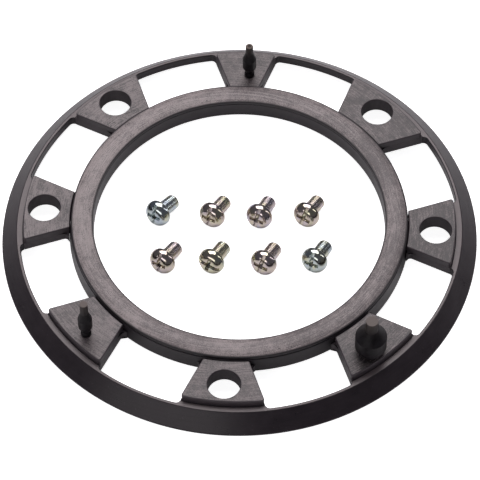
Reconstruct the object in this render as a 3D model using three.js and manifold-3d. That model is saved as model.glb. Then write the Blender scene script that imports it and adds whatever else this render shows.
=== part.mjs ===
// Toilet flange with its screw set. Millimetres, +Z up, the skirt's foot on z = 0,
// the ring's centre on the z axis and the first bridge on the +x axis.
import * as THREE from 'three';
import { mergeVertices } from 'three/addons/utils/BufferGeometryUtils.js';
import Module from 'manifold-3d';

const wasm = await Module();
wasm.setup();

// Outer ring: a conical skirt under a narrow flat lip
const OUTER_DIAMETER = 178;
const SKIRT_FLARE = 5.8;
const SKIRT_FOOT_WIDTH = 2.2;
const SKIRT_FOOT_EDGE = 0.8;
const SKIRT_DROP = 3.0;
const RIM_THICKNESS = 3.7;
const LIP_WIDTH = 1.2;
const LEDGE_WIDTH = 2.5;

// Inner ring: a drafted hub that carries a crowned seal
const HUB_WIDTH = 9.1;
const HUB_DRAFT = 0.7;
const HUB_HEIGHT = 6.4;
const SEAL_INSET = 0.9;
const SEAL_EDGE_HEIGHT = 1.1;
const SEAL_CROWN = 0.7;
const SEAL_EDGE_ROUND = 0.5;

// Eight bridges at equal pitch, with parallel-sided windows between them: the length
// runs outwards from the hub, and the width is taken halfway along
const BRIDGE_COUNT = 8;
const BRIDGE_LENGTH = 17.1;
const BRIDGE_WIDTH = 23.7;
const PAD_RISE = 2.8;
const WINDOW_CORNER_RADIUS = 1.8;
// One window is turned towards its neighbour, so the flange fits one way round
const KEY_WINDOW = 1;
const KEY_TURN_DEG = 5;

// Bolt holes and pegs, each a little outside or inside the middle of its bridge
const BOLT_HOLE_DIAMETER = 12;
const BOLT_HOLE_OFFSET = 1.05;
const REAR_PEG_OFFSET = -2.85;
const FRONT_PEG_OFFSET = 3.25;
const SOCKET_DEPTH = 4.2;
const SOCKET_END_GAP = 0.2;
const STEM_CLEARANCE = 0.12;
const BOND_GAP = 0.12;

// Pegs: a stem in the bridge, a waist that widens to a barrel, a shoulder and a slim tip.
// Diameters and lengths from the bridge's top face up
const SLENDER_PEG = {
  stem: 3.2, waist: 3.6, barrel: 5.2, tip: 2.9,
  barrelStart: 4.6, barrelLength: 5.6, shoulderLength: 3.4,
};
const STOUT_PEG = {
  stem: 6.0, waist: 8.4, barrel: 11.4, tip: 4.5,
  barrelStart: 3.2, barrelLength: 6.2, shoulderLength: 3.9,
};
const FRONT_PEG_HEIGHT = 18.8;
const REAR_PEG_HEIGHT = 17.2;
const REAR_TIP_ROUND = 0.4;

// Short pan-head machine screws of about M6, slotted and cross-recessed
const SCREW_DIAMETER = 5.7;
const SCREW_LENGTH = 8.9;
const SCREW_POINT = 0.55;
const SCREW_HEAD_DIAMETER = 10.1;
const SCREW_HEAD_EDGE = 0.85;
const SCREW_HEAD_HEIGHT = 3.85;
const SCREW_HEAD_FLAT = 2.15;
const SLOT_WIDTH = 1.3;
const SLOT_DEPTH = 1.4;
const CROSS_WING_SPAN = 5.0;
const CROSS_WING_WIDTH = 1.2;
const CROSS_DEPTH = 2.25;

const RING_SEGMENTS = 96;
const PEG_SEGMENTS = 24;
const SCREW_SEGMENTS = 24;
const DOME_STEPS = 4;
const ARC_STEPS = 3;

// Radii and heights that follow from the sizes above
const outerRadius = OUTER_DIAMETER / 2;
const underside = SKIRT_DROP;
const lipTop = underside + RIM_THICKNESS;
const lipRadius = outerRadius - SKIRT_FLARE;
const windowOuterRadius = lipRadius - LIP_WIDTH;
const ledgeRadius = lipRadius - LEDGE_WIDTH;
const bridgeTop = lipTop + PAD_RISE;
const bridgeOuterRadius = ledgeRadius - BOND_GAP;
const hubRadius = ledgeRadius - BRIDGE_LENGTH;
const boreRadius = hubRadius - HUB_WIDTH;
const hubTop = underside + HUB_HEIGHT;
const bridgeInnerRadius = hubRadius + BOND_GAP;
const sealRadius = hubRadius - SEAL_INSET;
const sealBottom = hubTop + BOND_GAP;
const cutHeight = bridgeTop + 2 * RIM_THICKNESS;

// The window's width leaves each bridge its own width at the middle radius
const pitchDeg = 360 / BRIDGE_COUNT;
const middleRadius = hubRadius + BRIDGE_LENGTH / 2;
const halfBridgeTurn = Math.asin(BRIDGE_WIDTH / 2 / middleRadius);
const windowWidth = 2 * middleRadius * Math.sin(Math.PI / BRIDGE_COUNT - halfBridgeTurn);

const material = {
  skirt: new THREE.MeshStandardMaterial({ color: 0x3a353b, roughness: 0.42, metalness: 0 }),
  hub: new THREE.MeshStandardMaterial({ color: 0x4b454c, roughness: 0.45, metalness: 0 }),
  seal: new THREE.MeshStandardMaterial({ color: 0x7b7574, roughness: 0.6, metalness: 0 }),
  bridge: new THREE.MeshStandardMaterial({ color: 0x6e6869, roughness: 0.62, metalness: 0 }),
  peg: new THREE.MeshStandardMaterial({ color: 0x2b292d, roughness: 0.4, metalness: 0 }),
  zinc: new THREE.MeshStandardMaterial({ color: 0xc9c4bb, roughness: 0.22, metalness: 1 }),
};

// A closed three.js geometry as a solid that can be joined and cut
function toSolid(geometry) {
  const bare = geometry.clone();
  bare.deleteAttribute('normal');
  bare.deleteAttribute('uv');
  const merged = mergeVertices(bare);
  return new wasm.Manifold(new wasm.Mesh({
    numProp: 3,
    vertProperties: merged.attributes.position.array,
    triVerts: merged.index.array,
  }));
}

function toGeometry(solid) {
  const mesh = solid.getMesh();
  const geometry = new THREE.BufferGeometry();
  geometry.setAttribute('position', new THREE.BufferAttribute(mesh.vertProperties, 3));
  geometry.setIndex(new THREE.BufferAttribute(mesh.triVerts, 1));
  geometry.computeVertexNormals();
  return geometry;
}

// A profile of [radius, height] corners turned about the z axis
function turned(profile, segments) {
  const points = profile.map(([radius, height]) => new THREE.Vector2(radius, height));
  return new THREE.LatheGeometry(points, segments).rotateX(Math.PI / 2);
}

function upright(geometry, radius, angleDeg, height) {
  const angle = THREE.MathUtils.degToRad(angleDeg);
  return geometry.translate(radius * Math.cos(angle), radius * Math.sin(angle), height);
}

// Window k lies half a pitch past bridge k, and the key window a little further
function windowAngleDeg(k) {
  const turn = k === KEY_WINDOW ? KEY_TURN_DEG : 0;
  return (k + 0.5) * pitchDeg + turn;
}

// The window's outline about the x axis: two arcs, two parallel sides and rounded corners
function windowShape() {
  const round = WINDOW_CORNER_RADIUS;
  const across = windowWidth / 2 - round;
  const outerAlong = Math.sqrt((windowOuterRadius - round) ** 2 - across ** 2);
  const innerAlong = Math.sqrt((hubRadius + round) ** 2 - across ** 2);
  const outerTurn = Math.atan2(across, outerAlong);
  const innerTurn = Math.atan2(across, innerAlong);
  const shape = new THREE.Shape();
  shape.absarc(0, 0, windowOuterRadius, -outerTurn, outerTurn, false);
  shape.absarc(outerAlong, across, round, outerTurn, Math.PI / 2, false);
  shape.absarc(innerAlong, across, round, Math.PI / 2, Math.PI + innerTurn, false);
  shape.absarc(0, 0, hubRadius, innerTurn, -innerTurn, true);
  shape.absarc(innerAlong, -across, round, Math.PI - innerTurn, 1.5 * Math.PI, false);
  shape.absarc(outerAlong, -across, round, -Math.PI / 2, -outerTurn, false);
  return shape;
}

function windowSolid(k) {
  const options = { depth: cutHeight, bevelEnabled: false, curveSegments: ARC_STEPS };
  const geometry = new THREE.ExtrudeGeometry(windowShape(), options);
  geometry.rotateZ(THREE.MathUtils.degToRad(windowAngleDeg(k)));
  return toSolid(geometry);
}

const windows = Array.from({ length: BRIDGE_COUNT }, (_, k) => windowSolid(k));
const sideCutters = Array.from({ length: BRIDGE_COUNT }, (_, k) => sideCutter(k));

// Skirt and rim: one turned ring whose inner edge is notched by every window
function skirtRimGeometry() {
  const footInner = outerRadius - SKIRT_FOOT_WIDTH;
  const slope = SKIRT_FLARE / (lipTop - SKIRT_FOOT_EDGE);
  const profile = [
    [footInner, 0],
    [outerRadius, 0],
    [outerRadius, SKIRT_FOOT_EDGE],
    [lipRadius, lipTop],
    [ledgeRadius, lipTop],
    [ledgeRadius, underside],
    [footInner - slope * underside, underside],
    [footInner, 0],
  ];
  let ring = toSolid(turned(profile, RING_SEGMENTS));
  for (const cutter of windows) {
    ring = ring.subtract(cutter);
  }
  return toGeometry(ring);
}

// Hub: bored ring whose outer wall leans in towards the top
function hubGeometry() {
  return turned([
    [boreRadius, underside],
    [hubRadius, underside],
    [hubRadius - HUB_DRAFT, hubTop],
    [boreRadius, hubTop],
    [boreRadius, underside],
  ], RING_SEGMENTS);
}

// Seal: crowned ring bonded on the hub, with its edges rounded over
function sealGeometry() {
  const round = SEAL_EDGE_ROUND;
  const edge = sealBottom + SEAL_EDGE_HEIGHT;
  const middle = (boreRadius + sealRadius) / 2;
  return turned([
    [boreRadius, sealBottom],
    [sealRadius, sealBottom],
    [sealRadius, edge - round],
    [sealRadius - round, edge],
    [middle + round, edge + SEAL_CROWN],
    [middle - round, edge + SEAL_CROWN],
    [boreRadius + round, edge],
    [boreRadius, edge - round],
    [boreRadius, sealBottom],
  ], RING_SEGMENTS);
}

// The raised part of a bridge keeps sharp corners, so a plain box cuts its sides
function sideCutter(k) {
  const inner = hubRadius - windowWidth / 4;
  const outer = windowOuterRadius + windowWidth / 4;
  const box = new THREE.BoxGeometry(outer - inner, windowWidth, cutHeight);
  box.translate((inner + outer) / 2, 0, cutHeight / 2);
  box.rotateZ(THREE.MathUtils.degToRad(windowAngleDeg(k)));
  return toSolid(box);
}

// A round hole through a bridge, or a socket that stops above its underside
function roundCutter(diameter, radius, angleDeg, bottom) {
  const geometry = new THREE.CylinderGeometry(diameter / 2, diameter / 2, cutHeight, PEG_SEGMENTS);
  geometry.rotateX(Math.PI / 2);
  return toSolid(upright(geometry, radius, angleDeg, bottom + cutHeight / 2));
}

// Part of bridge k between two heights, from the hub's wall to the rim's ledge
function bridgeLayer(k, bottom, top, cutters) {
  const before = (k + BRIDGE_COUNT - 1) % BRIDGE_COUNT;
  const from = THREE.MathUtils.degToRad((k - 0.5) * pitchDeg);
  const to = THREE.MathUtils.degToRad((k + 0.5) * pitchDeg);
  const sector = new THREE.Shape();
  sector.absarc(0, 0, bridgeOuterRadius, from, to, false);
  sector.absarc(0, 0, bridgeInnerRadius, to, from, true);
  const options = { depth: top - bottom, bevelEnabled: false, curveSegments: 2 * ARC_STEPS };
  const plate = new THREE.ExtrudeGeometry(sector, options).translate(0, 0, bottom);
  return toSolid(plate).subtract(cutters[before]).subtract(cutters[k]);
}

// Bridge k: a web as thick as the rim, with rounded inner corners, under a raised pad
function bridgeGeometry(k, holeCutter) {
  const web = bridgeLayer(k, underside, lipTop, windows);
  const pad = bridgeLayer(k, lipTop, bridgeTop, sideCutters);
  return toGeometry(web.add(pad).subtract(holeCutter));
}

// Peg on the z axis, its stem below the bridge's top face at z = 0
function pegGeometry(size, height, tipRound) {
  const barrelEnd = size.barrelStart + size.barrelLength;
  const stemEnd = SOCKET_END_GAP - SOCKET_DEPTH;
  return turned([
    [0, stemEnd],
    [size.stem / 2, stemEnd],
    [size.stem / 2, BOND_GAP],
    [size.waist / 2, BOND_GAP],
    [size.barrel / 2, size.barrelStart],
    [size.barrel / 2, barrelEnd],
    [size.tip / 2, barrelEnd + size.shoulderLength],
    [size.tip / 2, height - tipRound],
    [size.tip / 2 - tipRound, height],
    [0, height],
  ], PEG_SEGMENTS);
}

// Screw on the z axis, head up, with the underside of its head on z = 0
function screwGeometry() {
  const headRadius = SCREW_HEAD_DIAMETER / 2;
  const shankRadius = SCREW_DIAMETER / 2;
  const profile = [
    [0, -SCREW_LENGTH],
    [shankRadius - SCREW_POINT, -SCREW_LENGTH],
    [shankRadius, SCREW_POINT - SCREW_LENGTH],
    [shankRadius, 0],
    [headRadius, 0],
  ];
  for (let step = 0; step <= DOME_STEPS; step += 1) {
    const turn = (step / DOME_STEPS) * Math.PI / 2;
    profile.push([
      SCREW_HEAD_FLAT + (headRadius - SCREW_HEAD_FLAT) * Math.cos(turn),
      SCREW_HEAD_EDGE + (SCREW_HEAD_HEIGHT - SCREW_HEAD_EDGE) * Math.sin(turn),
    ]);
  }
  profile.push([0, SCREW_HEAD_HEIGHT]);
  const blank = toSolid(turned(profile, SCREW_SEGMENTS));
  const slot = recessCutter(SCREW_HEAD_DIAMETER * 1.2, SLOT_WIDTH, SLOT_DEPTH);
  const wing = recessCutter(CROSS_WING_WIDTH, CROSS_WING_SPAN, CROSS_DEPTH);
  const otherWing = recessCutter(CROSS_WING_SPAN, CROSS_WING_WIDTH, CROSS_DEPTH);
  return toGeometry(blank.subtract(slot).subtract(wing).subtract(otherWing));
}

// Box sunk into the top of a screw head
function recessCutter(lengthX, lengthY, depth) {
  const box = new THREE.BoxGeometry(lengthX, lengthY, 2 * depth);
  return toSolid(box.translate(0, 0, SCREW_HEAD_HEIGHT));
}

function addMesh(group, name, geometry, look) {
  const mesh = new THREE.Mesh(geometry, look);
  mesh.name = name;
  group.add(mesh);
}

const frontPeg = { offset: FRONT_PEG_OFFSET, height: FRONT_PEG_HEIGHT, tipRound: 0 };
const rearPeg = { offset: REAR_PEG_OFFSET, height: REAR_PEG_HEIGHT, tipRound: REAR_TIP_ROUND };

// The bridges, counter-clockwise from +x: degrees that the hole or the peg sits past the
// pitch line, and the peg of those that carry one
const BRIDGES = [
  { name: 'right', turn: 0 },
  { name: 'back_right', turn: 3 },
  { name: 'back', turn: 1, peg: { ...rearPeg, size: SLENDER_PEG } },
  { name: 'back_left', turn: 0 },
  { name: 'left', turn: 0 },
  { name: 'front_left', turn: 2, peg: { ...frontPeg, size: SLENDER_PEG } },
  { name: 'front', turn: 0 },
  { name: 'front_right', turn: -2, peg: { ...frontPeg, size: STOUT_PEG } },
];

// The loose screws: place of the head's underside, heading of the shank and roll of the slot
const SCREWS = [
  { x: -30.4, y: 4.4, heading: 57, roll: 6 },
  { x: -10.2, y: 5.1, heading: 64, roll: 2 },
  { x: 7.4, y: 5.8, heading: 70, roll: -4 },
  { x: 25.1, y: 7.7, heading: 65, roll: -8 },
  { x: -26.8, y: -17.3, heading: 62, roll: 5 },
  { x: -8.7, y: -16.1, heading: 65, roll: 82 },
  { x: 10.6, y: -15.3, heading: 67, roll: -6 },
  { x: 29.3, y: -13.0, heading: 66, roll: 4 },
];

const flange = new THREE.Group();
addMesh(flange, 'skirt_rim', skirtRimGeometry(), material.skirt);
addMesh(flange, 'hub_ring', hubGeometry(), material.hub);
addMesh(flange, 'seal_ring', sealGeometry(), material.seal);

BRIDGES.forEach(({ name, turn, peg }, k) => {
  const angle = k * pitchDeg + turn;
  if (peg === undefined) {
    const hole = roundCutter(BOLT_HOLE_DIAMETER, middleRadius + BOLT_HOLE_OFFSET, angle, 0);
    addMesh(flange, `bolt_bridge_${name}`, bridgeGeometry(k, hole), material.bridge);
    return;
  }
  const radius = middleRadius + peg.offset;
  const socketDiameter = peg.size.stem + 2 * STEM_CLEARANCE;
  const socket = roundCutter(socketDiameter, radius, angle, bridgeTop - SOCKET_DEPTH);
  const pin = pegGeometry(peg.size, peg.height, peg.tipRound);
  addMesh(flange, `peg_bridge_${name}`, bridgeGeometry(k, socket), material.bridge);
  addMesh(flange, `peg_${name}`, upright(pin, radius, angle, bridgeTop), material.peg);
});

// A dropped screw rests on the edge of its head and on the end of its shank
const headEdge = SCREW_HEAD_DIAMETER / 2;
const shankEdge = SCREW_DIAMETER / 2;
const screwDip = Math.atan2(headEdge - shankEdge, SCREW_LENGTH - SCREW_POINT);
SCREWS.forEach((place, index) => {
  const screw = screwGeometry();
  screw.rotateZ(THREE.MathUtils.degToRad(place.roll));
  screw.rotateY(-Math.PI / 2 + screwDip);
  screw.rotateZ(THREE.MathUtils.degToRad(place.heading));
  screw.computeBoundingBox();
  screw.translate(place.x, place.y, -screw.boundingBox.min.z);
  addMesh(flange, `screw_${index + 1}`, screw, material.zinc);
});

export default flange;
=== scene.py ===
# Toilet flange and its eight loose screws: the looks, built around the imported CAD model.
import math

import bpy
import numpy as np
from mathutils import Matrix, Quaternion, Vector


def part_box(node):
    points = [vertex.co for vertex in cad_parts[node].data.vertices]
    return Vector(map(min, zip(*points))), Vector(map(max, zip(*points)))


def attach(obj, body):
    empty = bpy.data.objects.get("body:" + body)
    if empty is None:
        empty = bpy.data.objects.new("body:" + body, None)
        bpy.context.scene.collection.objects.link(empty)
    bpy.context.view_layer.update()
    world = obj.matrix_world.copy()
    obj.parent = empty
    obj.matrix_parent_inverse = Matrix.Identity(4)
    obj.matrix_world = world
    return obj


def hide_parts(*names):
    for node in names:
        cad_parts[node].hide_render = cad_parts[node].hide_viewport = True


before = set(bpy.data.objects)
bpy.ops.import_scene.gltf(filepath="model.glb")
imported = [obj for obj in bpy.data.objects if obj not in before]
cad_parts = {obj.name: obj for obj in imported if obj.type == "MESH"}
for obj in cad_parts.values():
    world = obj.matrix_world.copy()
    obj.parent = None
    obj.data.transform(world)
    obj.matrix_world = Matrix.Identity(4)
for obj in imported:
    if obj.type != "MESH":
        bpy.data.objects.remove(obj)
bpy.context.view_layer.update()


# Camera: a long lens one metre away, looking down on the flange from a little to the right
# of its front.
EYE_DISTANCE = 1.0
EYE_AZIMUTH, EYE_ELEVATION, EYE_ROLL = np.radians([4.75, 54.21, -0.573])
EYE_LENS, EYE_SENSOR = 199.6, 36.0
EYE_SHIFT = (0.00115, -0.0133)

camera = bpy.data.objects.new("camera", bpy.data.cameras.new("camera"))
bpy.context.scene.collection.objects.link(camera)
camera.data.lens, camera.data.sensor_width = EYE_LENS, EYE_SENSOR
camera.data.shift_x, camera.data.shift_y = EYE_SHIFT
camera.data.clip_start, camera.data.clip_end = 0.05, 30.0
towards_eye = Vector((
    math.sin(EYE_AZIMUTH) * math.cos(EYE_ELEVATION),
    -math.cos(EYE_AZIMUTH) * math.cos(EYE_ELEVATION),
    math.sin(EYE_ELEVATION),
))
camera.location = towards_eye * EYE_DISTANCE
camera.rotation_mode = "QUATERNION"
camera.rotation_quaternion = (-towards_eye).to_track_quat("-Z", "Y") @ Quaternion((0, 0, 1), EYE_ROLL)
bpy.context.scene.camera = camera


# Studio: a white glowing table, one large soft light above and behind, a wide weak one at the
# front, a narrow one at the right, and a dim room, so that top faces shine and rounded edges
# stay dark.
TABLE_SIZE = 12.0
TABLE_GLOW, TABLE_FILL = 0.80, 0.12  # what the camera sees, and what lights the object
TABLE_WHITE, TABLE_ROUGHNESS, TABLE_SHINE = (0.84, 0.84, 0.85, 1), 0.8, 0.2
ROOM_TINT, ROOM_BRIGHTNESS = (0.88, 0.86, 1.0, 1), 0.12
BACKDROP_BRIGHTNESS = 1.1
WHITE = (1, 1, 1, 1)
SOFT_LIGHTS = [  # name, place, width, height, power
    ("softbox_back", (-0.10, 0.85, 1.35), 1.45, 1.15, 28.5),
    ("softbox_front", (-0.58, -1.17, 0.76), 1.3, 0.5, 4.6),
    ("strip_right", (1.30, 0.35, 0.75), 0.16, 0.9, 1.6),
]
SOFTBOX_TINT = (1.0, 0.945, 0.957)

bpy.context.scene.view_settings.view_transform = "Standard"

for name, place, width, height, power in SOFT_LIGHTS:
    light = bpy.data.lights.new(name, "AREA")
    light.shape, light.size, light.size_y = "RECTANGLE", width, height
    light.energy, light.color = power, SOFTBOX_TINT
    lamp = bpy.data.objects.new(name, light)
    bpy.context.scene.collection.objects.link(lamp)
    lamp.location = place
    lamp.rotation_mode = "QUATERNION"
    lamp.rotation_quaternion = (-Vector(place)).to_track_quat("-Z", "Y")

room = bpy.data.worlds.new("room")
bpy.context.scene.world = room
room.use_nodes = True
room_nodes, room_links = room.node_tree.nodes, room.node_tree.links
dim = room_nodes["Background"]
dim.inputs["Color"].default_value = ROOM_TINT
dim.inputs["Strength"].default_value = ROOM_BRIGHTNESS
pale = room_nodes.new("ShaderNodeBackground")
pale.inputs["Color"].default_value = WHITE
pale.inputs["Strength"].default_value = BACKDROP_BRIGHTNESS
chooser = room_nodes.new("ShaderNodeMixShader")
room_links.new(room_nodes.new("ShaderNodeLightPath").outputs["Is Camera Ray"], chooser.inputs[0])
room_links.new(dim.outputs[0], chooser.inputs[1])
room_links.new(pale.outputs[0], chooser.inputs[2])
room_links.new(chooser.outputs[0], room_nodes["World Output"].inputs["Surface"])

half_table = TABLE_SIZE / 2
table_mesh = bpy.data.meshes.new("table")
table_mesh.from_pydata(
    [(-half_table, -half_table, 0), (half_table, -half_table, 0),
     (half_table, half_table, 0), (-half_table, half_table, 0)], [], [(0, 1, 2, 3)])
table_white = bpy.data.materials.new("table_white")
table_white.use_nodes = True
table_nodes, table_links = table_white.node_tree.nodes, table_white.node_tree.links
table_shader = table_nodes["Principled BSDF"]
table_shader.inputs["Base Color"].default_value = TABLE_WHITE
table_shader.inputs["Roughness"].default_value = TABLE_ROUGHNESS
table_shader.inputs["Specular IOR Level"].default_value = TABLE_SHINE
table_shader.inputs["Emission Color"].default_value = WHITE
seen = table_nodes.new("ShaderNodeMath")
seen.operation = "MULTIPLY_ADD"
seen.inputs[1].default_value, seen.inputs[2].default_value = TABLE_GLOW, TABLE_FILL
table_links.new(table_nodes.new("ShaderNodeLightPath").outputs["Is Camera Ray"], seen.inputs[0])
table_links.new(seen.outputs[0], table_shader.inputs["Emission Strength"])
table_mesh.materials.append(table_white)
table = bpy.data.objects.new("table", table_mesh)
bpy.context.scene.collection.objects.link(table)


# Skirt and rim: one moulded ring of dark satin rubber. A conical skirt stands on a narrow
# foot and ends in a flat lip, whose inner edge is notched where each window begins.
MM = 0.001
TINY = 1e-6
OUTER_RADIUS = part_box("skirt_rim")[1][0] / MM
SKIRT_FLARE = 5.8
FOOT_WIDTH, FOOT_EDGE = 2.2, 0.8
UNDERSIDE, LIP_TOP = 3.0, 6.7
LIP_WIDTH, WINDOW_SETBACK = 2.5, 1.2
LIP_RADIUS = OUTER_RADIUS - SKIRT_FLARE
LEDGE_RADIUS = LIP_RADIUS - LIP_WIDTH
WINDOW_OUTER = LIP_RADIUS - WINDOW_SETBACK
BRIDGE_LENGTH, BRIDGE_WIDTH, BRIDGES = 17.1, 23.7, 8
HUB_RADIUS = LEDGE_RADIUS - BRIDGE_LENGTH
WINDOW_CORNER = 1.8
RIM_EDGE, NOTCH_EDGE = 0.34, 0.4
HOLD = 0.05
PLAN_BLEND = 1.2
NOTCH_POINTS, WINDOW_POINTS, LEDGE_POINTS = 8, 42, 32
NOTCH_FIRST = 0.7
SKIRT_DARK, SKIRT_LIGHT = (0.009, 0.007, 0.009), (0.026, 0.021, 0.025)
# The first colour is a painted highlight: the pale colour laid on the lip's flat top for the light
# from above. DUST_PALER is how much paler than the rubber the dust specks are.
LIP_PAINTED_SHEEN, DUST_PALER = (0.15, 0.128, 0.13, 1), 2.2
PITCH = 2 * math.pi / BRIDGES
KEY_WINDOW, KEY_TURN = 1, math.radians(5)

middle_radius = HUB_RADIUS + BRIDGE_LENGTH / 2
half_window = middle_radius * math.sin(PITCH / 2 - math.asin(BRIDGE_WIDTH / 2 / middle_radius))
window_turn = (np.arange(BRIDGES) + 0.5) * PITCH
window_turn[KEY_WINDOW] += KEY_TURN


def around(radius, turn):
    """Points (radius cos turn, radius sin turn)."""
    return np.stack([radius * np.cos(turn), radius * np.sin(turn)], axis=-1)


def eased(loop, radii, steps=5):
    """Closed polygon with rounded corners: a corner of radius R gives way to an arc that
    starts R tan(turn / 2) before it and ends as far after it, and one of radius 0 stays.
    A point held HOLD before and after each arc keeps the flats beside it flat."""
    loop, radii = np.asarray(loop, float), np.asarray(radii, float)
    before, after = loop - np.roll(loop, 1, 0), np.roll(loop, -1, 0) - loop
    before /= np.linalg.norm(before, axis=1, keepdims=True)
    after /= np.linalg.norm(after, axis=1, keepdims=True)
    cross = before[:, 0] * after[:, 1] - before[:, 1] * after[:, 0]
    turn = np.arctan2(cross, (before * after).sum(1))
    soft = np.flatnonzero(radii > 0)
    start = (loop - before * (radii * np.tan(np.abs(turn) / 2))[:, None])[soft]
    spoke = before[soft][:, ::-1] * [1, -1] * (np.sign(turn) * radii)[soft, None]
    part = np.linspace(0, 1, steps + 1)
    angle = turn[soft, None] * part
    cos, sin = np.cos(angle), np.sin(angle)
    arc = np.stack([spoke[:, :1] * cos - spoke[:, 1:] * sin,
                    spoke[:, :1] * sin + spoke[:, 1:] * cos], axis=-1)
    arc += (start - spoke)[:, None]
    arc = np.concatenate([arc[:, :1] - HOLD * before[soft, None], arc,
                          arc[:, -1:] + HOLD * after[soft, None]], axis=1)
    part = np.linspace(0, 0.5, steps + 3)
    plain = np.flatnonzero(radii <= 0)
    order = np.concatenate([plain, (soft[:, None] + part).ravel()])
    points = np.concatenate([loop[plain], arc.reshape(-1, 2)])
    return points[np.argsort(order, kind="stable")]


def outward(loop):
    """Unit normals of a counter-clockwise loop: each point's direction is the sum of its two
    sides' directions, each times the other side's length, and the normal is square to it."""
    after = np.roll(loop, -1, 0) - loop
    length = np.linalg.norm(after, axis=1, keepdims=True)
    before, length_before = np.roll(after / length, 1, 0), np.roll(length, 1, 0)
    along = before * length + after / length * length_before
    along /= np.linalg.norm(along, axis=1, keepdims=True)
    return along[:, ::-1] * [1, -1]


def skin(name, grid, body, node, finish, poles=False, bloom=None):
    """Closed smooth surface from a grid of points in millimetres. Columns run round and join
    up. Rows join up too, or, with poles, the first and last row each shrink to one point.
    Faces are turned outwards by the sign of the volume they enclose. The optional mask is 1 on
    the rows of a flat top whose colour is painted paler, for the sheen of the light from above
    and, on worn pieces, for scuffs, and 0 on the others."""
    rows, columns = grid.shape[:2]
    points = grid.reshape(-1, 3) * MM
    number = np.arange(rows * columns).reshape(rows, columns)
    beside = np.roll(number, -1, 1)
    last = rows - 1 if poles else rows
    above, above_beside = np.roll(number, -1, 0)[:last], np.roll(beside, -1, 0)[:last]
    faces = np.stack([number[:last], beside[:last], above_beside, above], -1).reshape(-1, 4)
    sides = np.full(len(faces), 4)
    corners = faces.ravel()
    a, b, c, d = points[faces].transpose(1, 0, 2)
    volume = (np.cross(a, b) * c).sum() + (np.cross(a, c) * d).sum()
    if poles:
        points = np.vstack([points, grid[0].mean(0) * MM, grid[-1].mean(0) * MM])
        low, high = np.full(columns, len(points) - 2), np.full(columns, len(points) - 1)
        fans = np.vstack([np.stack([beside[0], number[0], low], -1),
                          np.stack([number[-1], beside[-1], high], -1)])
        corners = np.concatenate([corners, fans.ravel()])
        sides = np.concatenate([sides, np.full(len(fans), 3)])
        p, q, r = points[fans].transpose(1, 0, 2)
        volume += (np.cross(p, q) * r).sum()
    starts = np.concatenate([[0], np.cumsum(sides)[:-1]])
    if volume < 0:
        ends = starts + sides
        position = np.arange(len(corners))
        face = np.repeat(np.arange(len(sides)), sides)
        corners = corners[starts[face] + ends[face] - 1 - position]
    mesh = bpy.data.meshes.new(name)
    mesh.vertices.add(len(points))
    mesh.vertices.foreach_set("co", points.astype(np.float32).ravel())
    mesh.loops.add(len(corners))
    mesh.loops.foreach_set("vertex_index", corners.astype(np.int32))
    mesh.polygons.add(len(sides))
    mesh.polygons.foreach_set("loop_start", starts.astype(np.int32))
    mesh.polygons.foreach_set("use_smooth", np.ones(len(sides), bool))
    mesh.update(calc_edges=True)
    if bloom is not None:
        # Per point: 1 where the flat top is painted paler for light and scuffs, 0 elsewhere
        sheen_and_scuff_share = np.zeros(len(points), np.float32)
        sheen_and_scuff_share[:rows * columns] = np.repeat(bloom, columns)
        mesh.attributes.new("bloom", "FLOAT", "POINT").data.foreach_set("value", sheen_and_scuff_share)
    mesh.materials.append(finish)
    piece = bpy.data.objects.new(name, mesh)
    bpy.context.scene.collection.objects.link(piece)
    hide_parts(node)
    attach(piece, body)


class Wire:
    """A shader socket that Python's operators work on: each operation adds its Math node."""

    def __init__(self, finish, socket):
        self.finish, self.socket = finish, socket

    def maths(self, operation, *values):
        """A Math node on these values or wires."""
        return self.finish.node("ShaderNodeMath", {"operation": operation}, dict(enumerate(values)))

    def __add__(self, other):
        return self.maths("ADD", self, other)

    def __sub__(self, other):
        return self.maths("SUBTRACT", self, other)

    def __rsub__(self, other):
        return self.maths("SUBTRACT", other, self)

    def __mul__(self, other):
        return self.maths("MULTIPLY", self, other)

    def __truediv__(self, other):
        return self.maths("DIVIDE", self, other)

    def __pow__(self, other):
        return self.maths("POWER", self, other)

    __radd__, __rmul__ = __add__, __mul__

    def between(self, low, high):
        """Smooth step from 0 at low to 1 at high, held outside."""
        return self.finish.node("ShaderNodeMapRange", {"interpolation_type": "SMOOTHSTEP"},
                                {"Value": self, "From Min": low, "From Max": high})


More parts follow.
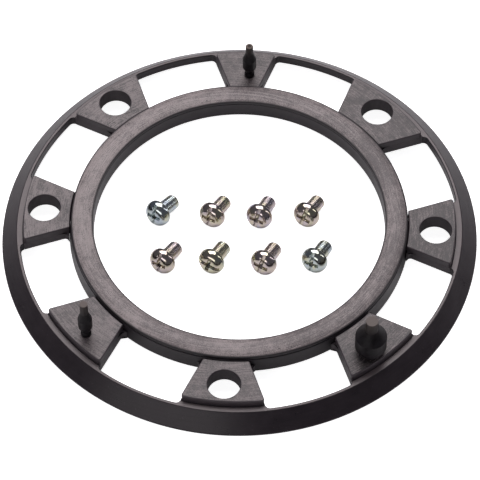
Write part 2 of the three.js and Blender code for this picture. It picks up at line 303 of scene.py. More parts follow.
class Finish:
    """A Principled material, built node by node."""

    def __init__(self, name, **constants):
        self.material = bpy.data.materials.new(name)
        self.material.use_nodes = True
        self.nodes, self.links = self.material.node_tree.nodes, self.material.node_tree.links
        self.shader = self.nodes["Principled BSDF"]
        for socket, value in constants.items():
            self.shader.inputs[socket.replace("_", " ")].default_value = value
        self.place = self.node("ShaderNodeTexCoord", output="Object")

    def node(self, kind, settings=None, inputs=None, output=0):
        """Adds a node, sets its settings first and then the values or links of its sockets."""
        made = self.nodes.new(kind)
        for name, value in (settings or {}).items():
            if name == "stops":
                ramp = made.color_ramp.elements
                while len(ramp) < len(value):
                    ramp.new(0.5)
                for stop, (position, colour) in zip(ramp, value):
                    stop.position, stop.color = position, (*colour, 1)
            else:
                setattr(made, name, value)
        for socket, value in (inputs or {}).items():
            self.feed(made.inputs[socket], value)
        return Wire(self, made.outputs[output])

    def feed(self, socket, value):
        """Links a wire to a socket, or sets the socket to a value."""
        if isinstance(value, Wire):
            self.links.new(value.socket, socket)
        else:
            socket.default_value = value

    def bloom(self):
        """The piece's own mask of its flat top, painted paler for the light from above and for
        scuffs.
        """
        return self.node("ShaderNodeAttribute", {"attribute_name": "bloom"}, output="Fac")

    def noise(self, size_mm, detail=2.0, roughness=0.5):
        """Noise from 0 to 1 with lumps about size_mm across."""
        return self.node("ShaderNodeTexNoise", {}, {
            "Vector": self.place, "Scale": 1 / (size_mm * MM), "Detail": detail,
            "Roughness": roughness})

    def blend(self, factor, first, second):
        """Colour between two others."""
        return self.node("ShaderNodeMix", {"data_type": "RGBA"},
                         {0: factor, 6: first, 7: second}, output=2)

    def axis(self, number):
        """Object coordinate x, y or z, for 0, 1 or 2."""
        return self.node("ShaderNodeSeparateXYZ", {}, {0: self.place}, output=number)

    def drawn(self, across_mm, along_mm, up_mm, detail, roughness):
        """Noise that follows the rings, long around the axis and short across it. Direction
        comes from (x / r, y / r), so that it has no seam."""
        x, y, z = [self.axis(number) for number in range(3)]
        radius = (x * x + y * y) ** 0.5
        share = middle_radius / along_mm
        place = self.node("ShaderNodeCombineXYZ", {}, {
            0: x / radius * share + radius / (across_mm * MM), 1: y / radius * share,
            2: z / (up_mm * MM)})
        return self.node("ShaderNodeTexNoise", {}, {
            "Vector": place, "Scale": 1.0, "Detail": detail, "Roughness": roughness})

    def finished(self, colour, roughness, height, bump_mm):
        """Feeds the shader, with a bump whose full height is bump_mm."""
        self.feed(self.shader.inputs["Base Color"], colour)
        self.feed(self.shader.inputs["Roughness"], roughness)
        bump = self.node("ShaderNodeBump", {}, {
            "Strength": 1.0, "Distance": bump_mm * MM, "Height": height})
        self.feed(self.shader.inputs["Normal"], bump)
        return self.material


def moulded(name, dark, light, roughness, shine, lumps_mm, grain_mm, bump_mm, streaks):
    """Dark moulded rubber: cloudy colour, a fine grain, faint streaks left along the mould,
    pale dust specks, and a paler colour on its flat top, painted as sheen from the light above."""
    finish = Finish(name, IOR=1.5, Specular_IOR_Level=shine)
    cloud = finish.noise(lumps_mm, detail=5, roughness=0.62)
    grain = finish.noise(grain_mm, detail=3, roughness=0.6)
    drawn = finish.drawn(0.35, 9.0, 0.5, detail=3, roughness=0.6)
    speck = finish.noise(0.9, detail=1).between(0.70, 0.76)
    tone = cloud * 0.55 + grain * 0.25 + drawn * streaks + (0.1 - 0.25 * streaks)
    colour = finish.blend(tone.between(0.15, 0.85), (*dark, 1), (*light, 1))
    # Painted highlight: a cloudy share of the pale lip colour on the flat top, where the light from
    # above falls
    colour = finish.blend(finish.bloom() * (0.35 + cloud * 0.6), colour, LIP_PAINTED_SHEEN)
    dust = [share * DUST_PALER for share in light]
    colour = finish.blend(speck * 0.35, colour, (*dust, 1))
    rough = roughness + (cloud - 0.5) * 0.22 + (grain - 0.5) * 0.18 + speck * 0.1
    height = grain * 0.6 + drawn * (0.4 + streaks) + cloud * 0.5
    return finish.finished(colour, rough, height, bump_mm)


# A window's rounded corner has its middle corner_away from the window's own axis
corner_away = half_window - WINDOW_CORNER
corner_reach = WINDOW_OUTER - WINDOW_CORNER
outer_turn = math.atan2(corner_away, math.sqrt(corner_reach ** 2 - corner_away ** 2))
notch_start = math.acos((LEDGE_RADIUS ** 2 - corner_reach ** 2 - WINDOW_CORNER ** 2)
                        / (2 * corner_reach * WINDOW_CORNER))
# One window's share of the inner edge: ledge corner, notch corner, window arc and back
notch_half = around(corner_reach, outer_turn) + around(WINDOW_CORNER, outer_turn + np.r_[
    notch_start, np.linspace(NOTCH_FIRST * notch_start, 0, NOTCH_POINTS)])
window_arc = around(WINDOW_OUTER, np.linspace(outer_turn, -outer_turn, WINDOW_POINTS + 2)[1:-1])
notch = np.concatenate([notch_half, window_arc, notch_half[::-1] * [1, -1]])[::-1]
ledge_from = math.atan2(notch_half[0, 1], notch_half[0, 0])
next_window = np.append(window_turn[1:], window_turn[0] + 2 * math.pi)
ledges = next_window - window_turn - 2 * ledge_from
ledge_share = np.linspace(0, 1, LEDGE_POINTS + 2)[1:-1]
rim_parts, rim_radii = [], []
for turn, ledge in zip(window_turn, ledges):
    cos, sin = math.cos(turn), math.sin(turn)
    rim_parts += [notch @ np.array([[cos, sin], [-sin, cos]]),
                  around(LEDGE_RADIUS, turn + ledge_from + ledge_share * ledge)]
    rim_radii += [[NOTCH_EDGE] + [0] * (len(notch) - 2) + [NOTCH_EDGE], [0] * LEDGE_POINTS]
rim_edge = eased(np.vstack(rim_parts), np.concatenate(rim_radii), steps=4)
rim_inwards = outward(rim_edge)
rim_ray = rim_edge / np.linalg.norm(rim_edge, axis=1, keepdims=True)

skirt_slope = SKIRT_FLARE / (LIP_TOP - FOOT_EDGE)
foot_inner = OUTER_RADIUS - FOOT_WIDTH
rim_section = eased(
    [(LEDGE_RADIUS, UNDERSIDE), (foot_inner - skirt_slope * UNDERSIDE, UNDERSIDE), (foot_inner, 0),
     (OUTER_RADIUS, 0), (OUTER_RADIUS, FOOT_EDGE), (LIP_RADIUS, LIP_TOP), (LEDGE_RADIUS, LIP_TOP)],
    [0.2, 0.5, 0.25, 0.3, 0.5, 0.55, RIM_EDGE], steps=6)
section_radius, section_height = rim_section.T
# Near the notched edge the rows are insets of it, and PLAN_BLEND further out they are circles
inset = np.clip(section_radius - LEDGE_RADIUS, 0, RIM_EDGE + HOLD)[:, None, None]
circle_share = np.clip((section_radius - LEDGE_RADIUS - RIM_EDGE - HOLD) / PLAN_BLEND, 0, 1)
circle_share = circle_share[:, None, None]
rim_plan = (1 - circle_share) * (rim_edge + rim_inwards * inset) \
    + circle_share * section_radius[:, None, None] * rim_ray
rim_grid = np.dstack([rim_plan, np.broadcast_to(section_height[:, None], rim_plan.shape[:2])])
skirt_rubber = moulded("skirt_rubber", SKIRT_DARK, SKIRT_LIGHT, roughness=0.33, shine=0.27,
                       lumps_mm=7.0, grain_mm=0.28, bump_mm=0.020, streaks=0.35)
# The lip's flat top: the rows that get the painted highlight
lip_sheen_rows = (section_height > LIP_TOP - TINY) & (section_radius > LEDGE_RADIUS + RIM_EDGE + TINY)
skin("skirt_rim_moulding", rim_grid, "flange", "skirt_rim", skirt_rubber, bloom=lip_sheen_rows)


# Hub: a bored ring of the same rubber inside the windows, whose outer wall leans in a little
# for its mould. The bridges' inner ends are bonded to it.
HUB_WIDTH, HUB_HEIGHT = 9.1, 6.4
BORE_RADIUS = HUB_RADIUS - HUB_WIDTH
HUB_TOP = UNDERSIDE + HUB_HEIGHT
HUB_LEAN = 0.7
RING_COLUMNS = 480
HUB_DARK, HUB_LIGHT = (0.012, 0.010, 0.012), (0.030, 0.025, 0.029)


def turned(section, columns):
    """A section of (radius, height) points turned about the z axis into a grid."""
    turn = np.linspace(0, 2 * math.pi, columns, endpoint=False)
    plan = around(section[:, :1], turn)
    return np.dstack([plan, np.broadcast_to(section[:, 1:], plan.shape[:2])])


hub_section = eased(
    [(BORE_RADIUS, UNDERSIDE), (HUB_RADIUS, UNDERSIDE), (HUB_RADIUS - HUB_LEAN, HUB_TOP),
     (BORE_RADIUS, HUB_TOP)], [0.3, 0.25, 0.3, 0.25])
hub_rubber = moulded("hub_rubber", HUB_DARK, HUB_LIGHT, roughness=0.38, shine=0.35,
                     lumps_mm=8.0, grain_mm=0.3, bump_mm=0.020, streaks=0.3)
skin("hub_ring_moulding", turned(hub_section, RING_COLUMNS), "flange", "hub_ring",
     hub_rubber)


# Seal: the soft crowned ring bonded on the hub, which takes the wear: its top is scuffed along
# the ring, with cloudy patches and small nicks, and its colour is painted paler there for the
# light from above.
SEAL_SETBACK, SEAL_SIDE = 0.9, 1.1
SEAL_RADIUS = HUB_RADIUS - SEAL_SETBACK
SEAL_BOTTOM, SEAL_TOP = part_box("seal_ring")[0][2] / MM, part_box("seal_ring")[1][2] / MM
SEAL_EDGE = SEAL_BOTTOM + SEAL_SIDE
SEAL_STEPS, SEAL_ROUND = 22, 0.42
# The painted paler top stops this far from the rounded edges and fades in over this width, so the
# edges keep the plain dark rubber colour
SHEEN_AND_SCUFF_MARGIN, SHEEN_AND_SCUFF_FADE = 0.40, 0.25
SEAL_CLEAN, SEAL_NICKED = (0.014, 0.011, 0.013, 1), (0.022, 0.018, 0.020, 1)
# The top's tone runs between these; the pale end also stands for the sheen of the light from above,
# painted into the colour
SEAL_DARK, SEAL_PALE = (0.048, 0.039, 0.041, 1), (0.262, 0.228, 0.226, 1)

across = np.linspace(1, -1, SEAL_STEPS)
crown = np.stack([(SEAL_RADIUS + BORE_RADIUS) / 2 + across * (SEAL_RADIUS - BORE_RADIUS) / 2,
                  SEAL_EDGE + (SEAL_TOP - SEAL_EDGE) * (1 - across ** 2)], axis=-1)
seal_section = eased(np.vstack([[(BORE_RADIUS, SEAL_BOTTOM), (SEAL_RADIUS, SEAL_BOTTOM)], crown]),
                     [0.2, 0.2, SEAL_ROUND] + [0] * (SEAL_STEPS - 2) + [SEAL_ROUND])
seal_across, seal_height = seal_section.T
edge_distance = np.minimum(seal_across - BORE_RADIUS, SEAL_RADIUS - seal_across)
# 1 on the flat top, whose colour is painted paler for the light from above and for scuffs
seal_sheen_and_scuff = np.clip((edge_distance - SHEEN_AND_SCUFF_MARGIN) / SHEEN_AND_SCUFF_FADE, 0, 1) * (seal_height > SEAL_EDGE)


def seal_finish():
    """Scuffed rubber: clouds, patches, streaks along the ring and a fine grain add up to a tone
    between a dark and a pale colour, with painted light making it a little paler to the left.
    It lies on the flat top only, whose paleness is partly scuffing and partly painted sheen of
    the light from above. Small nicks are dark."""
    finish = Finish("seal_rubber", IOR=1.5)
    cloud = finish.noise(3.6, detail=7, roughness=0.72)
    patch = finish.noise(17.0, detail=3, roughness=0.5)
    grain = finish.noise(0.34, detail=3, roughness=0.65)
    drawn = finish.drawn(0.30, 7.0, 0.6, detail=4, roughness=0.65)
    nick = finish.node("ShaderNodeTexVoronoi", {"feature": "F1"}, {
        "Vector": finish.place, "Scale": 1 / (3.4 * MM), "Randomness": 1.0}).between(0.13, 0.05)
    nick = nick * finish.noise(11.0, detail=1).between(0.48, 0.58)
    # Painted light: the tone grows paler towards the left, the side the light comes from
    painted_left_light = finish.axis(0) / (-SEAL_RADIUS * MM)
    tone = (cloud - 0.5) * 0.8 + (patch - 0.5) * 0.5 + (drawn - 0.5) * 1.1 \
        + (grain - 0.5) * 1.3 + painted_left_light * 0.12 + 0.5
    scuff_and_sheen_tone = finish.blend(tone.between(0.22, 0.80), SEAL_DARK, SEAL_PALE)
    # Painted sheen: only the flat top gets the pale tone; walls and rounded edges keep the clean dark
    # colour
    colour = finish.blend(finish.bloom(), SEAL_CLEAN, scuff_and_sheen_tone)
    colour = finish.blend(nick * 0.75, colour, SEAL_NICKED)
    rough = 0.50 + (cloud - 0.5) * 0.22 + (grain - 0.5) * 0.15
    height = grain * 0.5 + drawn * 0.7 + cloud * 0.5 - nick * 1.5
    return finish.finished(colour, rough, height, 0.028)


skin("seal_ring_moulding", turned(seal_section, RING_COLUMNS), "flange", "seal_ring",
     seal_finish(), bloom=seal_sheen_and_scuff)


# Bridges: eight moulded blocks between the hub and the rim, bonded at both ends. A web as
# thick as the rim carries a raised pad with a rounded edge. Five are bored for a bolt, and
# three hold the socket of a locating peg.
PAD_RISE, SOCKET_DEPTH = 2.8, 4.2
BRIDGE_TOP = LIP_TOP + PAD_RISE
BOND_GAP, WEB_GAP, HUB_GAP = 0.12, 0.02, 0.05
PAD_INNER_RADIUS = HUB_RADIUS + HUB_GAP - HUB_LEAN * (LIP_TOP - UNDERSIDE) / HUB_HEIGHT
PAD_SETBACK, PAD_EDGE = 0.03, 0.38
PAD_OUTER_CORNER, PAD_INNER_CORNER = 0.9, 0.42
WEB_CORNER, WEB_TAIL, WEB_EDGE, WEB_FOOT = 0.12, 0.005, 0.02, 0.08
BOLT_HOLE_RADIUS, BOLT_HOLE_OFFSET = 6.0, 1.05
HOLE_EDGE, HOLE_FOOT, SOCKET_EDGE = 0.3, 0.2, 0.08
SOCKET_FLOOR = BRIDGE_TOP - SOCKET_DEPTH
STEM_CLEARANCE = 0.12
POLE_RADIUS = 0.3
ARC_POINTS, SIDE_POINTS, FLARE_POINTS = 40, 32, 12
CORNER_MARGIN = 0.1
TOP_SHARES = (0.01, 0.35, 0.65, 0.99)
BRIDGE_CLEAN, BRIDGE_SPECK = (0.042, 0.034, 0.039, 1), (0.20, 0.172, 0.165, 1)
# The top's tone runs between these; its pale end also stands for the sheen of the light from above,
# painted into the colour
BRIDGE_DARK, BRIDGE_PALE = (0.018, 0.015, 0.016, 1), (0.165, 0.142, 0.143, 1)
SLENDER, STOUT = "slender", "stout"
STEM_RADIUS = {SLENDER: 1.6, STOUT: 3.0}
BRIDGE_PLAN = [  # name, degrees past the pitch line, offset from the middle radius, peg
    ("bolt_bridge_right", 0, BOLT_HOLE_OFFSET, None),
    ("bolt_bridge_back_right", 3, BOLT_HOLE_OFFSET, None),
    ("peg_bridge_back", 1, -2.85, SLENDER),
    ("bolt_bridge_back_left", 0, BOLT_HOLE_OFFSET, None),
    ("bolt_bridge_left", 0, BOLT_HOLE_OFFSET, None),
    ("peg_bridge_front_left", 2, 3.25, SLENDER),
    ("bolt_bridge_front", 0, BOLT_HOLE_OFFSET, None),
    ("peg_bridge_front_right", -2, 3.25, STOUT),
]

hub_reach = HUB_RADIUS + WINDOW_CORNER
inner_along = math.sqrt(hub_reach ** 2 - corner_away ** 2)
inner_turn = math.atan2(corner_away, inner_along)
flare_start = inner_turn + math.acos(((HUB_RADIUS + WEB_GAP) ** 2 - hub_reach ** 2
                                      - WINDOW_CORNER ** 2)
                                     / (2 * hub_reach * WINDOW_CORNER))


def block_side(window, hand, setback, inner_radius, outer_radius, flared):
    """One side of a bridge, from the hub outwards: a line parallel to the next window's
    axis, half a window away from it. A flared side starts with the arc of the window's
    rounded corner."""
    away = half_window + setback
    outer = math.sqrt(outer_radius ** 2 - away ** 2)
    if flared:
        arc = around(WINDOW_CORNER, np.linspace(flare_start, math.pi / 2, FLARE_POINTS))
        arc += [inner_along, corner_away]
        along = np.linspace(inner_along, outer, SIDE_POINTS - FLARE_POINTS + 1)[1:]
        line = np.stack([along, np.full_like(along, away)], axis=-1)
        side = np.vstack([arc, line])
    else:
        inner = math.sqrt(inner_radius ** 2 - away ** 2)
        share = np.r_[0, np.linspace(CORNER_MARGIN, 1 - CORNER_MARGIN, SIDE_POINTS - 2), 1]
        along = inner + (outer - inner) * share
        side = np.stack([along, np.full_like(along, away)], axis=-1)
    cos, sin = math.cos(window_turn[window]), math.sin(window_turn[window])
    return (side * [1, hand]) @ np.array([[cos, sin], [-sin, cos]])


def block_outline(k, setback, inner_radius, outer_radius, flared, corners):
    """Closed counter-clockwise outline of bridge k: the rim's arc, the side beyond it, the
    hub's arc and the side before it, with the four corners eased. Points keep clear of the
    corners by more than the arcs' tangents need."""
    lower = block_side(k - 1, 1, setback, inner_radius, outer_radius, flared)
    upper = block_side(k, -1, setback, inner_radius, outer_radius, flared)
    turns = [k * PITCH + math.remainder(math.atan2(y, x) - k * PITCH, 2 * math.pi)
             for x, y in (lower[-1], upper[-1], upper[0], lower[0])]
    share = np.r_[0, np.linspace(CORNER_MARGIN, 1 - CORNER_MARGIN, ARC_POINTS)]
    outer = around(outer_radius, turns[0] + (turns[1] - turns[0]) * share)
    inner = around(np.linalg.norm(lower[0]), turns[2] + (turns[3] - turns[2]) * share)
    parts = [outer, upper[::-1][:-1], inner, lower[:-1]]
    radii = np.concatenate([np.r_[radius, np.zeros(len(part) - 1)]
                            for radius, part in zip(corners, parts)])
    return eased(np.vstack(parts), radii)


def rounded_rows(from_loop, normals, edge, height, rising=True, steps=4):
    """Rows of an edge rounded over a quarter circle: inset = edge (1 - cos a), height = top -
    edge (1 - sin a), for a from 0 at the wall to a right angle at the top."""
    angle = np.linspace(0, math.pi / 2, steps + 1)
    angle = angle if rising else angle[::-1]
    insets, drops = edge * (1 - np.cos(angle)), edge * (1 - np.sin(angle))
    plan = from_loop + normals * -insets[:, None, None]
    return np.dstack([plan, np.broadcast_to(height - drops[:, None], plan.shape[:2])])


def level(loop, *heights):
    """Copies of a loop at several heights."""
    return np.stack([np.column_stack([loop, np.full(len(loop), height)]) for height in heights])


def face_between(first, last, shares):
    """Rows between two rows, at these shares of the way."""
    return first + np.asarray(shares)[:, None, None] * (last - first)


def bridge_finish():
    """Scuffed rubber like the seal's, but darker, and with pale specks in place of nicks. As on
    the seal, painted light makes the flat top paler and the tone paler towards the left.
    """
    finish = Finish("bridge_rubber", IOR=1.5)
    cloud = finish.noise(3.2, detail=7, roughness=0.72)
    patch = finish.noise(14.0, detail=2, roughness=0.5)
    grain = finish.noise(0.36, detail=4, roughness=0.68)
    drawn = finish.drawn(0.45, 4.5, 0.6, detail=4, roughness=0.68)
    speck = finish.noise(0.75, detail=1).between(0.66, 0.74)
    # Painted light: the tone grows paler towards the left, the side the light comes from
    painted_left_light = finish.axis(0) / (-LEDGE_RADIUS * MM)
    tone = (cloud - 0.5) * 1.1 + (patch - 0.5) * 0.5 + (drawn - 0.5) * 1.2 \
        + (grain - 0.5) * 1.2 + painted_left_light * 0.10 + 0.5
    scuff_and_sheen_tone = finish.blend(tone.between(0.28, 0.80), BRIDGE_DARK, BRIDGE_PALE)
    scuff_and_sheen_tone = finish.blend(speck * 0.4, scuff_and_sheen_tone, BRIDGE_SPECK)
    # Painted sheen: only the flat top gets the pale tone; the walls keep the clean dark colour
    colour = finish.blend(finish.bloom(), BRIDGE_CLEAN, scuff_and_sheen_tone)
    rough = 0.50 + (cloud - 0.5) * 0.2 + (grain - 0.5) * 0.2
    return finish.finished(colour, rough, grain * 0.7 + drawn * 0.8 + cloud * 0.6, 0.032)


bridge_rubber = bridge_finish()
for k, (name, turn, offset, peg) in enumerate(BRIDGE_PLAN):
    centre = around(middle_radius + offset, k * PITCH + math.radians(turn))
    pad = block_outline(k, PAD_SETBACK, PAD_INNER_RADIUS, LEDGE_RADIUS - BOND_GAP, False,
                        [PAD_OUTER_CORNER, PAD_OUTER_CORNER, PAD_INNER_CORNER, PAD_INNER_CORNER])
    web = block_outline(k, 0, HUB_RADIUS + WEB_GAP, LEDGE_RADIUS - WEB_GAP, True,
                        [WEB_CORNER, WEB_CORNER, WEB_TAIL, WEB_TAIL])
    pad_normals, web_normals = outward(pad), outward(web)
    ray = (pad - centre) / np.linalg.norm(pad - centre, axis=1, keepdims=True)
    hole_radius = BOLT_HOLE_RADIUS if peg is None else STEM_RADIUS[peg] + STEM_CLEARANCE
    hole_edge = HOLE_EDGE if peg is None else SOCKET_EDGE
    hole = centre + hole_radius * ray
    mouth = rounded_rows(hole, -ray, hole_edge, BRIDGE_TOP)
    pad_edge = rounded_rows(pad, pad_normals, PAD_EDGE, BRIDGE_TOP, rising=False)
    web_edge = rounded_rows(web, web_normals, WEB_EDGE, LIP_TOP, rising=False, steps=2)
    web_foot = level(web - web_normals * WEB_FOOT, UNDERSIDE)
    if peg is None:
        start = np.concatenate([level(hole + ray * HOLE_FOOT, UNDERSIDE), level(
            hole, UNDERSIDE + HOLE_FOOT, UNDERSIDE + HOLE_FOOT + HOLD,
            BRIDGE_TOP - hole_edge - HOLD)])
        close = web_foot[:0]
    else:
        pole = centre + ray * POLE_RADIUS
        start = np.concatenate([level(pole, SOCKET_FLOOR), level(
            hole, SOCKET_FLOOR, BRIDGE_TOP - hole_edge - HOLD)])
        close = level(pole, UNDERSIDE)
    grid = np.concatenate([
        start, mouth, face_between(mouth[-1], pad_edge[0], TOP_SHARES), pad_edge,
        level(pad, BRIDGE_TOP - PAD_EDGE - HOLD, LIP_TOP + HOLD, LIP_TOP), web_edge,
        level(web, LIP_TOP - WEB_EDGE - HOLD, UNDERSIDE + WEB_FOOT + HOLD, UNDERSIDE + WEB_FOOT),
        web_foot, close])
    # 1 on the pad's flat top, whose colour is painted paler for the light from above and for scuffs
    pad_sheen_and_scuff = np.zeros(len(grid))
    pad_sheen_and_scuff[len(start) + len(mouth):][:len(TOP_SHARES)] = 1
    skin(f"{name}_moulding", grid, "flange", name, bridge_rubber,
         poles=peg is not None, bloom=pad_sheen_and_scuff)


# Pegs: darker, duller mouldings pressed into their sockets. A waist widens to a barrel and a
# cone narrows to a slim tip: cut flat on the two front pegs, dimpled on the back one. The
# slender ones have a bead round the foot.
PEG_COLUMNS = 128
PEG_AXIS = 0.05
STEM_FLOAT = 0.2
PEG_STEM_END = SOCKET_FLOOR + STEM_FLOAT
FRONT_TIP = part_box("peg_front_left")[1][2] / MM
BACK_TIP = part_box("peg_back")[1][2] / MM
PEG_SHAPES = {  # barrel and tip radii, then heights of the barrel's ends and the cone's top
    SLENDER: (2.6, 1.45, 5.0, 9.8, 13.4),
    STOUT: (5.7, 2.25, 3.2, 9.4, 13.3),
}
PEG_FEET = {  # radius, height and easing of a bead round the foot, up to the waist
    SLENDER: [(1.95, BOND_GAP, 0), (1.95, 1.3, 0.3), (1.5, 2.2, 0.3)],
    STOUT: [(4.2, BOND_GAP, 0.5)],
}
PEG_EASING = {SLENDER: (0.6, 0.4, 0.7), STOUT: (0.7, 0.3, 0.5)}
TIP_EDGE, DIMPLED_TIP_EDGE = 0.18, 0.42
DIMPLE_MOUTH, DIMPLE_FLOOR, DIMPLE_DEPTH = 0.78, 0.45, 0.28
PEG_DARK, PEG_LIGHT = (0.006, 0.005, 0.006, 1), (0.014, 0.013, 0.015, 1)
PEG_NECK_PALE = (0.050, 0.042, 0.038, 1)
NECK_HEIGHT = BRIDGE_TOP + 11.0  # where the neck starts to grow paler towards the tip


def peg_section(shape, tip, dimpled):
    """Section of (radius, height) points from the stem's end up to the tip: straight runs
    between corners, each eased by its own radius. It starts and ends beside the axis, where
    a pole closes it."""
    barrel, slim, low, high, top = PEG_SHAPES[shape]
    stem = STEM_RADIUS[shape]
    ease_low, ease_high, ease_neck = PEG_EASING[shape]
    corners = [
        (PEG_AXIS, PEG_STEM_END, 0), (stem, PEG_STEM_END, 0.3), (stem, BRIDGE_TOP + BOND_GAP, 0),
        *[(radius, BRIDGE_TOP + height, ease) for radius, height, ease in PEG_FEET[shape]],
        (barrel, BRIDGE_TOP + low, ease_low),
        (barrel, BRIDGE_TOP + high, ease_high), (slim, BRIDGE_TOP + top, ease_neck)]
    if dimpled:
        corners += [(slim, tip, DIMPLED_TIP_EDGE), (DIMPLE_MOUTH, tip, 0.15),
                    (DIMPLE_FLOOR, tip - DIMPLE_DEPTH, 0.12), (PEG_AXIS, tip - DIMPLE_DEPTH, 0)]
    else:
        corners += [(slim, tip, TIP_EDGE), (PEG_AXIS, tip, 0)]
    corners = np.array(corners)
    return eased(corners[:, :2], corners[:, 2], steps=8)


def peg_finish(name, tip, tip_face_highlight):
    """Dark dull rubber with fine rings, paler up the neck towards the tip, and with a painted
    highlight making it palest on the tip's flat face.
    """
    finish = Finish(name, IOR=1.5, Specular_IOR_Level=0.12)
    cloud = finish.noise(2.2, detail=5, roughness=0.65)
    grain = finish.noise(0.22, detail=3, roughness=0.6)
    height = finish.axis(2)
    ringed = finish.node("ShaderNodeTexNoise", {"noise_dimensions": "1D"}, {
        "W": height / (0.35 * MM), "Scale": 1.0, "Detail": 3.0})
    face = (height + (grain - 0.5) * (0.12 * MM)).between((tip - 0.22) * MM, (tip - 0.02) * MM)
    colour = finish.blend(cloud.between(0.3, 0.75), PEG_DARK, PEG_LIGHT)
    # The neck grows paler towards the tip, patchy with the cloud noise
    neck_paling = height.between(NECK_HEIGHT * MM, tip * MM) * (0.5 + cloud * 0.5)
    colour = finish.blend(neck_paling * 0.9, colour, PEG_NECK_PALE)
    # Painted highlight: the tip's flat face is given a pale colour for the light from above
    colour = finish.blend(face * (0.55 + grain * 0.45), colour, (*tip_face_highlight, 1))
    rough = 0.42 + (cloud - 0.5) * 0.25 + (grain - 0.5) * 0.2 + face * 0.2
    return finish.finished(colour, rough, grain * 0.5 + ringed * 0.5 + cloud * 0.4, 0.018)


# The last value of each row is the painted highlight colour of that peg's tip face
for name, k, tip, peg_tip_highlight in [("back", 2, BACK_TIP, (0.17, 0.14, 0.12)),
                            ("front_left", 5, FRONT_TIP, (0.17, 0.148, 0.138)),
                            ("front_right", 7, FRONT_TIP, (0.17, 0.150, 0.140))]:
    _, turn, offset, shape = BRIDGE_PLAN[k]
    centre = around(middle_radius + offset, k * PITCH + math.radians(turn))
    grid = turned(peg_section(shape, tip, name == "back"), PEG_COLUMNS) + [*centre, 0]
    skin(f"peg_{name}_moulding", grid, "flange", f"peg_{name}",
         peg_finish(f"peg_{name}_rubber", tip, peg_tip_highlight), poles=True)


# Screws: eight loose pan-head screws of about M6, cold headed in steel with a slot and a cross
# recess, thread rolled, then zinc plated and passivated, which leaves thin colours.
SHANK_RADIUS, SHANK_LENGTH, SHANK_POINT = 2.85, 8.9, 0.55
HEAD_RADIUS, HEAD_EDGE, HEAD_HEIGHT, HEAD_FLAT = 5.05, 0.85, 3.85, 2.15
SLOT_HALF, SLOT_DEPTH = 0.65, 1.4
WING_HALF, WING_REACH, WING_DEPTH, WING_RISE = 0.75, 2.9, 2.25, 0.36
WALL_DRAFT, WING_END = 0.07, 0.12
THREAD_PITCH, THREAD_DEPTH, THREAD_FADE = 0.8, 0.10, (0.3, 1.2)
THREAD_GROOVE, GROOVE_FLOOR = 0.22, 0.02  # half widths, as shares of a pitch
HEAD_ROUND, NECK_ROUND, HEAD_AXIS = 0.28, 0.25, 0.06
QUARTER_COLUMNS = (6, 2, 14, 2, 6)
RECESS_ROWS, DOME_ROWS, SHANK_ROWS = 26, 34, 150
END_RADII = ((1.2,), (0.3,))
SCREW_PLACES = [  # x, y, heading of the shank and roll of the slot
    (-30.4, 4.4, 57, 6), (-10.2, 5.1, 64, 2), (7.4, 5.8, 70, -4), (25.1, 7.7, 65, -8),
    (-26.8, -17.3, 62, 5), (-8.7, -16.1, 65, 82), (10.6, -15.3, 67, -6), (29.3, -13, 66, 4),
]
FILM_TINTS = [  # share of the film's thickness and the tint it gives
    (0.0, (0.40, 0.46, 0.52)), (0.2, (0.47, 0.53, 0.51)), (0.38, (0.52, 0.52, 0.38)),
    (0.52, (0.53, 0.48, 0.39)), (0.68, (0.51, 0.45, 0.45)), (0.84, (0.45, 0.44, 0.51)),
    (1.0, (0.43, 0.50, 0.47)),
]
FILM_PHASE = [0.14, 0.58, 0.66, 0.56, 0.62, 0.42, 0.60, 0.24]  # each screw's own thickness


def head_angles(radius):
    """Angles of the columns at each radius. Some columns follow the slot's walls and some
    the cross wings' walls, so that the walls stay straight: within each quarter the wall
    angles are asin(half width / radius), held under 40 degrees near the middle."""
    limit = math.radians(40)
    slot = np.minimum(np.arcsin(np.minimum(SLOT_HALF / radius, 1)), limit)
    wing = np.minimum(np.arcsin(np.minimum(WING_HALF / radius, 1)), limit)
    slot_foot = slot * (1 - WALL_DRAFT / SLOT_HALF)
    wing_foot = wing * (1 - WALL_DRAFT / WING_HALF)
    right = np.full_like(radius, math.pi / 2)
    knots = np.stack([0 * slot, slot_foot, slot, right - wing, right - wing_foot, right])
    quarter = np.concatenate([
        knots[n] + (knots[n + 1] - knots[n]) * np.linspace(0, 1, count + 1)[:-1, None]
        for n, count in enumerate(QUARTER_COLUMNS)]).T
    mirrored = math.pi - np.concatenate([quarter[:, 1:], right[:, None]], axis=1)[:, ::-1]
    half = np.concatenate([quarter, mirrored], axis=1)
    return np.concatenate([half, half + math.pi], axis=1)


def ramp(value, low, high):
    """Smooth step from 0 at low to 1 at high."""
    part = np.clip((value - low) / (high - low), 0, 1)
    return part * part * (3 - 2 * part)


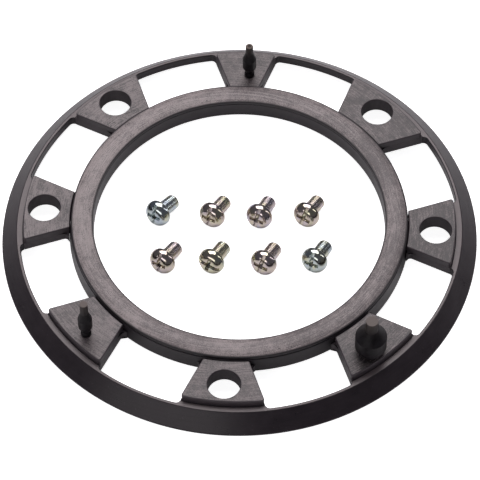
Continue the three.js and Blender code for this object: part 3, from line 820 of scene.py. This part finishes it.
def screw_grid():
    """Screw on the z axis with its head up and the head's underside on z = 0. The head's
    height is the dome less whichever recess is deeper, and the shank's radius is the crest
    less a groove that climbs one pitch each turn."""
    radius = np.unique(np.concatenate([
        np.linspace(HEAD_AXIS, HEAD_FLAT, RECESS_ROWS),
        [WING_REACH - WING_END, WING_REACH - WING_END / 2, WING_REACH],
        HEAD_FLAT + (HEAD_RADIUS - HEAD_FLAT) * np.sin(np.linspace(0, math.pi / 2, DOME_ROWS))]))
    turn = head_angles(radius)
    x, y = radius[:, None] * np.cos(turn), radius[:, None] * np.sin(turn)
    fall = np.clip((radius - HEAD_FLAT) / (HEAD_RADIUS - HEAD_FLAT), 0, 1)
    dome = (HEAD_EDGE + (HEAD_HEIGHT - HEAD_EDGE) * np.sqrt(1 - fall ** 2))[:, None]
    in_slot = ramp(np.abs(y), SLOT_HALF, SLOT_HALF - WALL_DRAFT)
    reach = ramp(radius, WING_REACH, WING_REACH - WING_END)[:, None]
    in_wing = reach * np.maximum(ramp(np.abs(y), WING_HALF, WING_HALF - WALL_DRAFT),
                                 ramp(np.abs(x), WING_HALF, WING_HALF - WALL_DRAFT))
    slot_floor = HEAD_HEIGHT - SLOT_DEPTH
    wing_floor = HEAD_HEIGHT - WING_DEPTH + WING_RISE * radius[:, None]
    sunk = np.maximum(in_slot * np.maximum(dome - slot_floor, 0),
                      in_wing * np.maximum(dome - wing_floor, 0))
    head = np.dstack([x, y, dome - sunk])
    turn = turn[-1]
    brim = eased([(HEAD_RADIUS, HEAD_EDGE), (SHANK_RADIUS, HEAD_EDGE), (SHANK_RADIUS, 0),
                  (HEAD_RADIUS, 0)], [0, 0, NECK_ROUND, HEAD_ROUND])[::-1]
    brim = brim[brim[:, 1] < HEAD_EDGE - TINY]
    brim_grid = np.dstack([around(brim[:, :1], turn),
                           np.broadcast_to(brim[:, 1:], (len(brim), len(turn)))])
    down = np.linspace(NECK_ROUND, SHANK_LENGTH, SHANK_ROWS)[:, None]
    phase = (down / THREAD_PITCH + turn / (2 * math.pi)) % 1
    groove = ramp(np.abs(phase - 0.5), THREAD_GROOVE, GROOVE_FLOOR) * ramp(down, *THREAD_FADE)
    crest = np.minimum(SHANK_RADIUS, SHANK_RADIUS - SHANK_POINT
                       + np.maximum(SHANK_LENGTH - down, 0))
    shank = np.dstack([around(crest - groove * THREAD_DEPTH, turn),
                       np.broadcast_to(-down, groove.shape)])
    end = np.dstack([around(np.array(END_RADII), turn),
                     np.full((len(END_RADII), len(turn)), -SHANK_LENGTH)])
    return np.concatenate([head, brim_grid, shank, end])


def zinc_finish(name, phase):
    """Bright zinc under a thin film: its thickness wanders with noise, and each thickness
    has its own tint."""
    finish = Finish(name, Metallic=1.0)
    wander = finish.noise(3.2, detail=2, roughness=0.5)
    fine = finish.noise(0.5, detail=3)
    film = wander * 0.9 + (phase - 0.45)
    tint = finish.node("ShaderNodeValToRGB", {"stops": FILM_TINTS}, {0: film})
    rough = 0.09 + fine * 0.07 + wander * 0.04
    return finish.finished(tint, rough, fine, 0.006)


def spin(axis, degrees):
    """Matrix that turns a column vector about one axis by the right-hand rule."""
    cos, sin = math.cos(math.radians(degrees)), math.sin(math.radians(degrees))
    one, two = (axis + 1) % 3, (axis + 2) % 3
    matrix = np.eye(3)
    matrix[one, one] = matrix[two, two] = cos
    matrix[one, two], matrix[two, one] = -sin, sin
    return matrix


screw_shape = screw_grid()
screw_dip = math.degrees(math.atan2(HEAD_RADIUS - SHANK_RADIUS, SHANK_LENGTH - SHANK_POINT))
for number, ((x, y, heading, roll), phase) in enumerate(zip(SCREW_PLACES, FILM_PHASE), start=1):
    lie = spin(2, heading) @ spin(1, screw_dip - 90) @ spin(2, roll)
    grid = screw_shape @ lie.T
    grid += [x, y, -grid[..., 2].min()]
    skin(f"screw_{number}_steel", grid, f"loose_screw_{number}", f"screw_{number}",
         zinc_finish(f"zinc_film_{number}", phase), poles=True)
